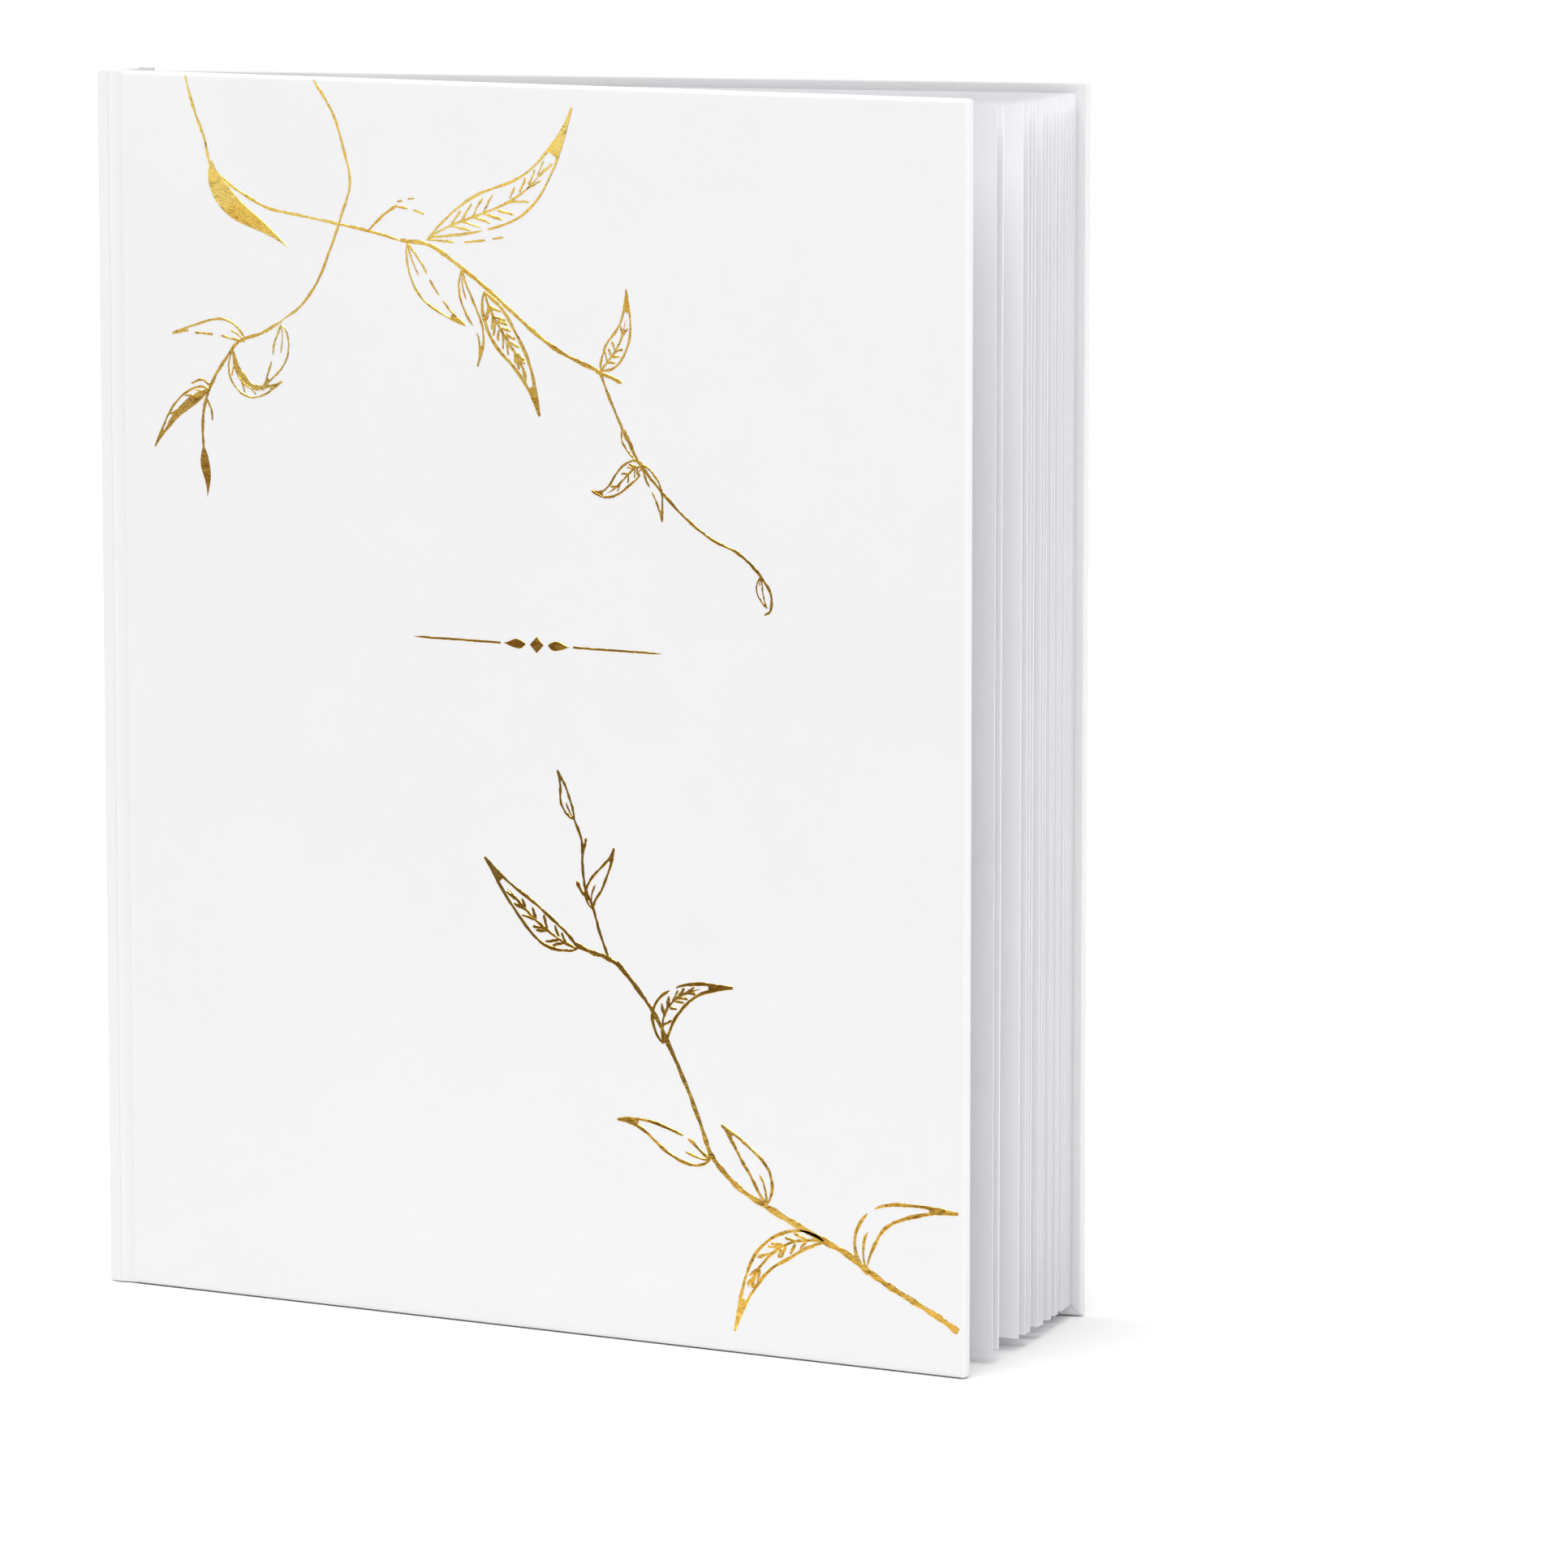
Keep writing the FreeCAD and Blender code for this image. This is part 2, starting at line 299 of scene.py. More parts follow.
def grey_board():
    """Pressed grey board with lighter and darker fibres."""
    made, nodes, links, shader, place = material("grey_board", (0.5, 0.48, 0.45), 0.85)
    specks = noise_node(nodes, links, place, 1400, 5, 0.7)
    color = ramp_node(nodes, links, specks, [(0.3, (0.34, 0.32, 0.30)), (0.6, (0.53, 0.51, 0.47)),
                                             (0.8, (0.66, 0.64, 0.60))])
    links.new(color, shader.inputs["Base Color"])
    links.new(bump_node(nodes, links, specks, 0.5, 0.0002), shader.inputs["Normal"])
    return made


def gauze(name, color, thread):
    """Open weave stiffened with glue."""
    made, nodes, links, shader, place = material(name, color, 0.6)
    waves = []
    for direction in ("Y", "Z"):
        wave = nodes.new("ShaderNodeTexWave")
        wave.bands_direction = direction
        wave.inputs["Scale"].default_value = thread
        wave.inputs["Distortion"].default_value = 0.4
        links.new(place, wave.inputs["Vector"])
        waves.append(wave.outputs["Fac"])
    weave = nodes.new("ShaderNodeMath")
    weave.operation = "MAXIMUM"
    links.new(waves[0], weave.inputs[0])
    links.new(waves[1], weave.inputs[1])
    dark = tuple(c * 0.8 for c in color)
    links.new(ramp_node(nodes, links, weave.outputs[0], [(0.2, dark), (0.8, color)]),
              shader.inputs["Base Color"])
    links.new(bump_node(nodes, links, weave.outputs[0], 0.6, 0.0002), shader.inputs["Normal"])
    return made


def glue():
    """Dried glue that has run along the roots of the leaves."""
    made, nodes, links, shader, place = material("root_glue", (0.86, 0.85, 0.80), 0.35)
    runs = noise_node(nodes, links, place, 220, 4, 0.6, (1, 1, 0.3))
    links.new(ramp_node(nodes, links, runs, [(0.3, (0.80, 0.78, 0.71)), (0.7, (0.88, 0.87, 0.83))]),
              shader.inputs["Base Color"])
    links.new(bump_node(nodes, links, runs, 0.5, 0.0003), shader.inputs["Normal"])
    return made


def gold_foil():
    """Hot-stamped foil: bright metal with fine crinkles and a warmer, deeper tone in places."""
    made, nodes, links, shader, place = material("gold_foil", (0.90, 0.62, 0.17), 0.22, 1.0)
    tone = noise_node(nodes, links, place, 60, 4, 0.6)
    color = ramp_node(nodes, links, tone, [(0.30, (0.80, 0.47, 0.08)), (0.50, (0.96, 0.67, 0.14)),
                                           (0.70, (1.00, 0.82, 0.28))])
    links.new(color, shader.inputs["Base Color"])
    vary_roughness(nodes, links, shader, noise_node(nodes, links, place, 900, 3), 0.12, 0.28)
    crinkle = noise_node(nodes, links, place, 950, 4, 0.65)
    swell = noise_node(nodes, links, place, 190, 3)
    first = bump_node(nodes, links, swell, 0.60, 0.0008)
    links.new(bump_node(nodes, links, crinkle, 0.60, 0.00022, first), shader.inputs["Normal"])
    return made


GREY_BOARD = grey_board()
LINING = gauze("lining", (0.84, 0.82, 0.77), 480)
GLUE = glue()
FOIL = gold_foil()

for node, look in (("spine_board", GREY_BOARD), ("front_board", GREY_BOARD),
                   ("back_board", GREY_BOARD), ("spine_lining", LINING)):
    carried = frame["nodes"][node]
    carried.data.materials.clear()
    carried.data.materials.append(look)


# ------------------------------------------------------------------ covers
def cover_point(side, x, depth):
    """(x, y) in the closed book, depth measured inward from the outer face of a cover."""
    return (x, FRONT_Y + depth) if side == "front" else (x, BACK_Y - depth)


def groove_depth(x):
    """How far the covering dips into the hinge groove."""
    into = smooth((x - HINGE_X - 0.1 * MM) / (1.5 * MM))
    out = 1 - smooth((x - BOARD_X + 0.25 * MM) / (0.85 * MM))
    return GROOVE * into * out


def cover_columns(side):
    """Columns of a covered board and its hinge strip in the closed book."""
    columns = []
    strip_end = BOARD_X - BEND_FOOT
    for step in range(15):
        x = lerp(HINGE_X, strip_end, step / 14)
        dip = groove_depth(x)
        columns.append((cover_point(side, x, dip), cover_point(side, x, dip + COVERING), 0.0,
                        PAPER_ROUND))
    for step in range(1, 8):
        share = step / 7
        x = lerp(strip_end, BOARD_X + BOARD_SHOULDER, share)
        inner_x = lerp(strip_end, BOARD_X + 0.55 * MM, share)
        depth = lerp(groove_depth(strip_end) + COVERING, COVER_DEPTH, smooth(share * 1.15))
        radius = lerp(PAPER_ROUND, EDGE_ROUND, smooth(share))
        columns.append((cover_point(side, x, groove_depth(x)), cover_point(side, inner_x, depth),
                        0.0, radius))
    flat_end = FORE_X - EDGE_ROUND
    flats = [0.002, 0.006] + [k / 28 for k in range(1, 28)] + [0.994, 0.998]
    for share in flats:
        x = lerp(BOARD_X + BOARD_SHOULDER, flat_end, share)
        columns.append((cover_point(side, x, 0), cover_point(side, x, COVER_DEPTH), 0.0,
                        EDGE_ROUND))
    for step in range(6):
        angle = math.pi / 2 * step / 5
        left = EDGE_ROUND * math.cos(angle)
        rounded = EDGE_ROUND - left
        x = flat_end + EDGE_ROUND * math.sin(angle)
        columns.append((cover_point(side, x, rounded), cover_point(side, x, COVER_DEPTH - rounded),
                        rounded, left))
    return columns


def back_place(point):
    """Closed-book point of the back cover, carried to where it stands."""
    return swing(point, BACK_HINGE, OPENING, BACK_HINGE.x, BEND_LENGTH)


def bend_with_cover(piece, side):
    """Bake the piece's transform into its mesh; the piece is not tied to the spine or the cover."""
    if side == "front":
        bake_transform(piece)
    else:
        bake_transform(piece)


def build_case(side):
    case = slab(side + "_case", cover_columns(side), 0.0, HEIGHT, COVER_PAPER,
                place=PLACES[side])
    bend_with_cover(case, side)
    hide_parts(side + "_wrap")


def build_pastedown(side):
    """Endpaper from the hinge line along the groove, up the board's edge and over its face.

    The turn-ins underneath lift it slightly.
    """
    inner = COVER_DEPTH
    lift = 0.01 * MM
    path = [(HINGE_X + 0.05 * MM, COVERING), (HINGE_X + 0.8 * MM, COVERING + 0.2 * MM),
            (HINGE_X + 1.5 * MM, COVERING + GROOVE), (BOARD_X - 0.35 * MM, COVERING + GROOVE),
            (BOARD_X - 0.22 * MM, COVERING + GROOVE + 0.12 * MM),
            (BOARD_X - 0.10 * MM, inner - 0.45 * MM), (BOARD_X + 0.12 * MM, inner - 0.12 * MM),
            (BOARD_X + 0.5 * MM, inner)]
    flat_start, flat_end = BOARD_X + 0.5 * MM, FORE_X - PASTE_MARGIN
    path += [(lerp(flat_start, flat_end, share), inner)
             for share in (0.01, 0.03, 0.1, 0.2, 0.4, 0.6, 0.8, 0.93, 0.97, 1.0)]
    columns = []
    for index, (x, depth) in enumerate(path):
        normal = normal_at(path, index)
        near = cover_point(side, x, depth + lift)
        away = cover_point(side, x + normal.x * PASTE, depth + lift + normal.y * PASTE)
        columns.append((near, away, 0.0, 0.05 * MM))
    sheet = slab(side + "_endpaper", columns, PASTE_MARGIN, HEIGHT - PASTE_MARGIN, ENDPAPER,
                 arc_steps=2, place=PLACES[side])
    bend_with_cover(sheet, side)
    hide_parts(side + "_pastedown")


def build_fore_turn_in(side):
    """Turned-in covering between the cover's edge and the pastedown, mitred at its ends."""
    width = PASTE_MARGIN - FLAP_MARGIN - 0.05 * MM
    points = []
    for rise, pull in FLAP_TIERS:
        trim = pull * MM
        outer_x = FORE_X - FLAP_MARGIN - trim
        inner_x = FORE_X - FLAP_MARGIN - width
        foot = FLAP_MARGIN + trim * 1.5
        head = HEIGHT - foot
        for x, z in ((outer_x, foot), (outer_x, head),
                     (inner_x, head - width * MITRE), (inner_x, foot + width * MITRE)):
            points.append(Vector((*cover_point(side, x, COVER_DEPTH + rise * MM), z)))
    if PLACES[side]:
        points = [PLACES[side](p) for p in points]
    faces = [(0, 1, 2, 3), (12, 13, 14, 15)]
    for tier in (0, 4, 8):
        for k in range(4):
            n = (k + 1) % 4
            faces.append((tier + k, tier + n, tier + 4 + n, tier + 4 + k))
    flap = new_object(side + "_fore_turn_in", points, faces, COVER_PAPER, smooth_faces=False)
    recalculate(flap)
    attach(flap, side + "_cover")


PLACES = {"front": None, "back": back_place}
# height of each tier of the turned-in flap above the board, and how far its edge draws in, in mm
FLAP_TIERS = ((-0.03, 0.0), (0.08, 0.0), (0.14, 0.04), (0.18, 0.12))
for cover_side in ("front", "back"):
    build_case(cover_side)
    build_pastedown(cover_side)
    build_fore_turn_in(cover_side)


# ------------------------------------------------------------------ spine
def spine_columns():
    """Columns from the front hinge line, round the spine board, to the back hinge line."""
    inner_x = SPINE_X + SPINE_DEPTH
    board_line = inner_x + 0.12 * MM
    low, high = FRONT_Y, BACK_Y
    columns = []
    for step in range(5):
        x = lerp(HINGE_X, board_line, step / 4)
        columns.append(((x, low), (x, low + COVERING), 0.0, PAPER_ROUND))
    corner = SPINE_X + EDGE_ROUND
    for step in range(1, 4):
        share = step / 3
        x = lerp(board_line, corner, share)
        inner = (lerp(board_line, inner_x, smooth(share * 1.4)),
                 low + COVERING + 0.10 * MM * step)
        columns.append(((x, low), inner, 0.0, lerp(PAPER_ROUND, 0.55 * MM, share)))
    for step in range(1, 7):
        angle = math.pi / 2 * step / 6
        outer = (corner - EDGE_ROUND * math.sin(angle), low + EDGE_ROUND * (1 - math.cos(angle)))
        inner = (inner_x, low + COVERING + 0.35 * MM + 0.11 * MM * step)
        columns.append((outer, inner, 0.0, 0.7 * MM))
    start = low + COVERING + 1.05 * MM
    middle = (low + high) / 2
    for share in (0.25, 0.6, 1.0):
        y = lerp(start, middle, share)
        columns.append(((SPINE_X, y), (inner_x, y), 0.0, 0.7 * MM))
    mirrored = []
    for outer, inner, inset, radius in reversed(columns[:-1]):
        mirrored.append(((outer[0], 2 * middle - outer[1]), (inner[0], 2 * middle - inner[1]),
                         inset, radius))
    return columns + mirrored


spine_case = slab("spine_case", spine_columns(), 0.0, HEIGHT, COVER_PAPER)
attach(spine_case, "spine")
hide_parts("spine_wrap")


GUARD_HALF = 0.07 * MM                # half the thickness of a joint guard


def joint_guard(name, sign):
    """Endpaper strip from the hinge line to the shoulder of the bound leaves."""
    face = FRONT_Y if sign > 0 else BACK_Y
    shoulder = (root_low.y if sign > 0 else root_high.y) - sign * 0.05 * MM
    path = [Vector((HINGE_X - 0.1 * MM, face + sign * 0.32 * MM)),
            Vector((SPINE_X + 2.62 * MM, face + sign * 0.9 * MM)),
            Vector((SPINE_X + 2.55 * MM, face + sign * 1.8 * MM)),
            Vector((SPINE_X + 2.75 * MM, shoulder - sign * 0.35 * MM)),
            Vector((SPINE_X + 3.2 * MM, shoulder)),
            Vector((root_high.x, shoulder))]
    columns = []
    for index, point in enumerate(path):
        normal = normal_at(path, index) * GUARD_HALF
        columns.append((tuple(point + normal), tuple(point - normal), 0.0, 0.02 * MM))
    guard = slab(name, columns, LEAF_FOOT, LEAF_HEAD, ENDPAPER, arc_steps=1)
    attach(guard, "spine")


joint_guard("front_joint_guard", 1)
joint_guard("back_joint_guard", -1)

# glue between the roots of the leaves, a little short of their ends
GLUE_INSET = 0.35 * MM
glue_columns = [((x, root_low.y + pull), (x, root_high.y - pull), 0.0, 0.5 * MM)
                for x, pull in ((root_low.x, 0.5 * MM), (root_low.x + 0.2 * MM, 0.25 * MM),
                                (root_low.x + 0.6 * MM, 0.12 * MM),
                                (root_high.x - 0.4 * MM, 0.12 * MM),
                                (root_high.x, 0.3 * MM))]
root_glue = slab("root_glue", glue_columns, LEAF_FOOT + GLUE_INSET,
                 LEAF_HEAD - GLUE_INSET, GLUE)
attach(root_glue, "spine")
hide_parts("bound_root")


# ------------------------------------------------------------------ leaves
GUTTER = 42 * MM                      # a leaf bends away from the spine over this length
ROOT = 3.3 * MM                       # and is held in the glue over this length
HALF_LEAF = 0.15 * MM
HALF_FLYLEAF = 0.12 * MM
LEAF_SHARP = 20                       # degrees: the bend stays smooth, the edges stay crisp
# how far the fore-edge leans from foot to head, in degrees: the feet of a group hang together
LEAN = {"leaf_01": 0.10, "leaf_03": -0.24, "leaf_05": 0.20, "leaf_06": -0.22, "leaf_08": 0.20,
        "leaf_09": -0.20, "leaf_10": 0.06, "leaf_11": -0.22, "leaf_12": 0.05, "leaf_13": -0.26,
        "leaf_14": -0.12}
LEAN_PIVOT = 0.6                      # share of the height where a leaning leaf is unmoved


def build_leaf(node):
    """Thin sheet through stations from its root to its fore-edge, bent over the gutter."""
    flyleaf = node.endswith("flyleaf")
    hinge = JOINTS[node + "_hinge"]
    axis = Vector(hinge["pos_m"])
    angle = -hinge["range_deg"][0]
    fore_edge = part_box(node)[1].x
    reach = (fore_edge - axis.x) / math.cos(math.radians(angle))
    half = HALF_FLYLEAF if flyleaf else HALF_LEAF
    lean = LEAN.get(node, 0.0)
    stations = [-ROOT, -1.5 * MM, 0.0] + [GUTTER * k / 14 for k in range(1, 15)]
    stations += [lerp(GUTTER, reach, k / 10) for k in range(1, 11)]
    levels = [k / 10 for k in range(11)]
    points = []
    for distance in stations:
        share = smooth(distance / GUTTER)
        for side in (1, -1):
            for level in (levels if side > 0 else reversed(levels)):
                bend = math.radians((angle + lean * (level - LEAN_PIVOT)) * share)
                c, s = math.cos(bend), math.sin(bend)
                points.append(Vector((axis.x + distance * c - side * half * s,
                                      axis.y + distance * s + side * half * c,
                                      lerp(LEAF_FOOT, LEAF_HEAD, level))))
    size = 2 * len(levels)
    faces = []
    for i in range(len(stations) - 1):
        for j in range(size):
            k = (j + 1) % size
            faces.append((i * size + j, (i + 1) * size + j, (i + 1) * size + k, i * size + k))
    for base in (0, (len(stations) - 1) * size):
        for j in range(len(levels) - 1):
            faces.append((base + j, base + j + 1, base + size - 2 - j, base + size - 1 - j))
    look = ENDPAPER if flyleaf else LEAF_PAPER
    sheet = new_object("sheet_" + node, points, faces, look, smooth_faces=False)
    recalculate(sheet)
    mark_smooth(sheet, LEAF_SHARP)
    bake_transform(sheet)
    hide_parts(node)


for node in sorted(frame["nodes"]):
    if node.startswith("leaf_") or node.endswith("flyleaf"):
        build_leaf(node)


# ------------------------------------------------------------------ foil on the front cover
FOIL_DEPTH = 0.04 * MM
FOIL_SINK = -0.005 * MM               # its sides start just inside the covering
LAYERS, LAYER_STEP = 14, 0.002 * MM   # overlapping shapes lie at slightly different heights
BEVEL_SHARE, BEVEL_MOST = 0.2, 0.07   # sloping side: share of the width, and at most this, mm
draw = random.Random(7)


def on_cover(x, z, proud):
    """Point on the front face, x from the spine and z from the tail, both in millimetres."""
    return Vector((SPINE_X + x * MM, FRONT_Y - proud, z * MM))


def curve_through(knots, steps=9):
    """Catmull-Rom curve through knots in millimetres."""
    ends = [(2 * knots[0][0] - knots[1][0], 2 * knots[0][1] - knots[1][1])]
    last = [(2 * knots[-1][0] - knots[-2][0], 2 * knots[-1][1] - knots[-2][1])]
    padded = [Vector(p) for p in ends + list(knots) + last]
    line = []
    for i in range(1, len(padded) - 2):
        a, b, c, d = padded[i - 1:i + 3]
        for step in range(steps):
            t = step / steps
            line.append(0.5 * ((2 * b) + (c - a) * t + (2 * a - 5 * b + 4 * c - d) * t * t
                               + (3 * b - a - 3 * c + d) * t ** 3))
    line.append(padded[-2])
    return line


class Stamp:
    """Collects flat foil shapes into one mesh with shallow sides, moved by shift."""

    def __init__(self, shift=(0, 0)):
        self.shift = Vector(shift)
        self.layer = 0
        self.points = []
        self.faces = []

    def strip(self, left, right):
        """Foil between two lines of equal length, in millimetres."""
        base = len(self.points)
        rows = len(left)
        proud = FOIL_DEPTH + self.layer % LAYERS * LAYER_STEP
        self.layer += 1
        for a, b in zip(left, right):
            a, b = a + self.shift, b + self.shift
            across = b - a
            slope = min(BEVEL_SHARE * across.length, BEVEL_MOST)
            inward = across.normalized() * slope if across.length > 1e-6 else across
            self.points += [on_cover(*a, FOIL_SINK), on_cover(*(a + inward), proud),
                            on_cover(*(b - inward), proud), on_cover(*b, FOIL_SINK)]
        for i in range(rows - 1):
            for k in range(3):
                p = base + i * 4 + k
                self.faces.append((p, p + 1, p + 5, p + 4))
            p = base + i * 4
            self.faces.append((p + 3, p, p + 4, p + 7))
        for i in (0, rows - 1):
            p = base + i * 4
            self.faces.append((p, p + 1, p + 2, p + 3))

    def stroke(self, line, width, taper=(0.5, 0.5), wobble=0.16):
        """Pen-like stroke of changing width along a line."""
        count = len(line)
        left, right = [], []
        swell = draw.uniform(0, 6.28)
        for i, point in enumerate(line):
            run = line[min(i + 1, count - 1)] - line[max(i - 1, 0)]
            if run.length < 1e-6:
                run = Vector((1, 0))
            run.normalize()
            normal = Vector((-run.y, run.x))
            share = i / (count - 1)
            ends = min(1.0, taper[0] + share * 6, taper[1] + (1 - share) * 6)
            half = width / 2 * ends * (1 + wobble * math.sin(swell + i * 0.8)
                                       + draw.uniform(-wobble, wobble) * 0.7)
            drift = normal * draw.uniform(-0.05, 0.05)
            left.append(point + normal * half + drift)
            right.append(point - normal * half + drift)
        self.strip(left, right)

    def finish(self, name):
        piece = new_object(name, self.points, self.faces, FOIL, smooth_faces=False)
        recalculate(piece)
        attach(piece, "front_cover")
        return piece


BLADE_STEPS = 30


def blade_lines(controls, breadth, peak, lopsided):
    """Midrib and both edges of a leaf whose midrib is a cubic curve."""
    a, b, c, d = (Vector(p) for p in controls)
    waves = draw.uniform(0, 6.28)
    middle, one, other = [], [], []
    power = math.log(0.5) / math.log(peak)
    for i in range(BLADE_STEPS + 1):
        t = i / BLADE_STEPS
        u = 1 - t
        point = a * u ** 3 + b * 3 * u * u * t + c * 3 * u * t * t + d * t ** 3
        run = (b - a) * u * u + (c - b) * 2 * u * t + (d - c) * t * t
        across = Vector((-run.y, run.x)).normalized()
        swell = max(0.0, math.sin(math.pi * t ** power)) ** 1.15 * (1 - 0.25 * t)
        wave = 1 + 0.07 * math.sin(waves + t * 11)
        middle.append(point)
        one.append(point + across * (breadth * swell * wave * (1 + lopsided)))
        other.append(point - across * (breadth * swell * (2 - wave) * (1 - lopsided)))
    return middle, one, other


def leaf(stamp, controls, breadth, style="outline", line=0.5, peak=0.4, lopsided=0.0, veins=6,
         breaks=()):
    """Foil leaf. breaks lists (side, from, to) stretches where the outline is left open."""
    middle, one, other = blade_lines(controls, breadth, peak, lopsided)
    last = len(middle) - 1
    if style == "solid":
        stamp.strip(one, other)
        return
    if style == "half":
        stamp.strip([lerp(m, a, 0.15) for m, a in zip(middle, one)], one)
    for side, edge in enumerate((one, other)):
        start = 0
        for which, begin, end in sorted(breaks):
            if which == side:
                stop = int(begin * last)
                if stop - start > 2:
                    stamp.stroke(edge[start:stop + 1], line, (0.7, 0.35))
                start = int(end * last)
        stamp.stroke(edge[start:], line, (0.5, 0.8))
    tail = int(0.86 * last)
    stamp.strip([lerp(m, a, 0.9) for m, a in zip(middle[tail:], one[tail:])],
                [lerp(m, a, 0.9) for m, a in zip(middle[tail:], other[tail:])])
    if style == "outline":
        stamp.stroke(middle[:draw.randint(9, 14)], line * 0.75, (0.8, 0.2))
        return
    stamp.stroke(middle[:int(0.8 * last)], line * 0.9, (0.8, 0.2))
    for k in range(veins):
        at = int(last * (0.14 + 0.60 * k / veins)) + draw.randint(0, 1)
        for edge in (one, other):
            if draw.random() < 0.10:
                continue
            target = edge[min(at + 4, last)]
            start = lerp(middle[at], target, draw.choice((0.0, 0.0, 0.16)))
            stop = lerp(middle[at], target, draw.uniform(0.60, 0.80))
            bend = (start + stop) / 2 + (middle[at + 1] - middle[at]) * draw.uniform(-0.2, 0.3)
            stamp.stroke(curve_through([tuple(start), tuple(bend), tuple(stop)], 4),
                         line * draw.uniform(0.75, 1.05), (0.9, 0.4))


def twig(stamp, knots, width, taper=(0.7, 0.5)):
    """Stem along a curve through the knots."""
    stamp.stroke(curve_through(knots), width, taper)


def dashes(stamp, knots, width, pattern):
    """Broken stroke: pattern lists the stretches that are drawn."""
    line = curve_through(knots, 12)
    for start, stop in pattern:
        piece = line[int(start * len(line)):int(stop * len(line)) + 1]
        if len(piece) > 2:
            stamp.stroke(piece, width, (0.6, 0.6))


upper = Stamp((1.4, 0.8))
# long stem from the head edge down to a hook near the middle of the cover
twig(upper, [(20.5, 252.6), (22.5, 246), (25, 240), (26.5, 234.5), (30, 231.5), (35, 228.5),
             (41, 226), (48, 225), (57, 223.6), (65, 222.3), (73, 220.5)], 0.62)
twig(upper, [(72, 220.8), (79, 220), (86, 216), (92, 212), (98, 207.5), (104, 203), (110, 199.5),
             (119, 196)], 0.85, (0.9, 0.9))
twig(upper, [(118.5, 196.2), (121, 190.5), (124, 184.5), (127.5, 178.5), (132, 173.5),
             (138, 168), (144, 164), (150, 161.5), (154.5, 158), (157.5, 154), (157.6, 150.5),
             (156.2, 149.4)], 0.62, (1.0, 0.6))
leaf(upper, [(155.4, 157), (154.6, 154.5), (155.4, 152.5), (156.8, 150.8)], 0.75, "outline", 0.38)
# second stem from the head edge, crossing the first and forking towards the spine
twig(upper, [(51.5, 252.6), (56, 246), (58.5, 239), (60, 232), (58, 225.5), (55.5, 219),
             (52, 211.5), (48, 206.5), (43, 203)], 0.58)
twig(upper, [(43.5, 203.2), (38.5, 200.5), (33, 198.5), (29.5, 194.5), (26.5, 190), (24.5, 185),
             (24, 180), (24.3, 175)], 0.68)
leaf(upper, [(26.8, 235.6), (26.5, 226), (37, 224.5), (45.6, 218)], 2.5, "solid", peak=0.4)
leaf(upper, [(34.5, 198.6), (30.5, 202.5), (25, 201.5), (16.8, 199.6)], 1.9, "outline", 0.5,
     breaks=((0, 0.42, 0.56), (0, 0.78, 0.9)))
leaf(upper, [(43.2, 202.5), (44.5, 197.5), (42, 193.5), (38.6, 189)], 2.0, "outline", 0.45,
     breaks=((1, 0.5, 0.62),))
leaf(upper, [(31.5, 196.8), (31.5, 188.5), (37.5, 187), (43.4, 190.8)], 1.9, "half", 0.45,
     lopsided=-0.2, veins=3, breaks=((0, 0.45, 0.6),))
leaf(upper, [(25.8, 188.2), (21.5, 188), (16.5, 183.5), (12.3, 176)], 1.7, "half", 0.5, veins=4)
leaf(upper, [(24.2, 177), (24, 173.5), (25.6, 170.5), (25, 166)], 1.25, "solid", peak=0.45)
twig(upper, [(26.2, 189), (23.8, 190.3), (21.3, 189.4)], 0.5)
twig(upper, [(25, 186.5), (26.2, 184), (26.4, 182)], 0.5)
leaf(upper, [(78.5, 221.5), (92, 229.5), (104, 225.5), (112.2, 248.8)], 4.3, "veined", 0.55,
     peak=0.45, veins=9, breaks=((1, 0.30, 0.36),))
twig(upper, [(64.5, 222.6), (68, 225.8), (71.2, 227.8)], 0.55)
dashes(upper, [(71, 227.7), (75, 227), (79, 226)], 0.5, ((0.0, 0.35), (0.5, 0.8)))
dashes(upper, [(70, 228.2), (73, 229), (76, 229.6)], 0.4, ((0.2, 0.4), (0.6, 0.85)))
dashes(upper, [(78, 221.2), (87, 221), (97, 222.4)], 0.5, ((0.0, 0.36), (0.48, 0.72), (0.82, 0.95)))
leaf(upper, [(73.5, 220.3), (76, 212), (80, 207.5), (87.2, 204.2)], 2.2, "outline", 0.5,
     breaks=((0, 0.35, 0.42), (0, 0.6, 0.68)))
leaf(upper, [(86.5, 215.6), (85.5, 206.5), (93.5, 206), (90, 196)], 1.5, "outline", 0.5,
     breaks=((1, 0.62, 0.7),))
leaf(upper, [(91.7, 211.2), (93.5, 203.5), (101.2, 199.5), (104.5, 186.6)], 3.1, "veined", 0.74,
     veins=9)
leaf(upper, [(118.8, 196.4), (121.5, 200), (125.5, 202.5), (124.6, 213)], 2.5, "veined", 0.52,
     veins=5)
twig(upper, [(117.6, 196.2), (120.5, 195.4), (123.6, 194.2)], 0.75)
leaf(upper, [(123.8, 185.2), (124.2, 182.5), (125.5, 180.5), (128, 177.8)], 0.9, "outline", 0.42)
leaf(upper, [(128.4, 177), (126, 180), (122, 169), (116.6, 172.3)], 2.2, "veined", 0.5, veins=5)
leaf(upper, [(128.2, 178), (131, 175), (132.6, 171.5), (132.8, 166.8)], 1.3, "outline", 0.48,
     breaks=((1, 0.4, 0.5),))
upper.finish("foil_sprig_upper")

lower = Stamp((0.9, 0.4))
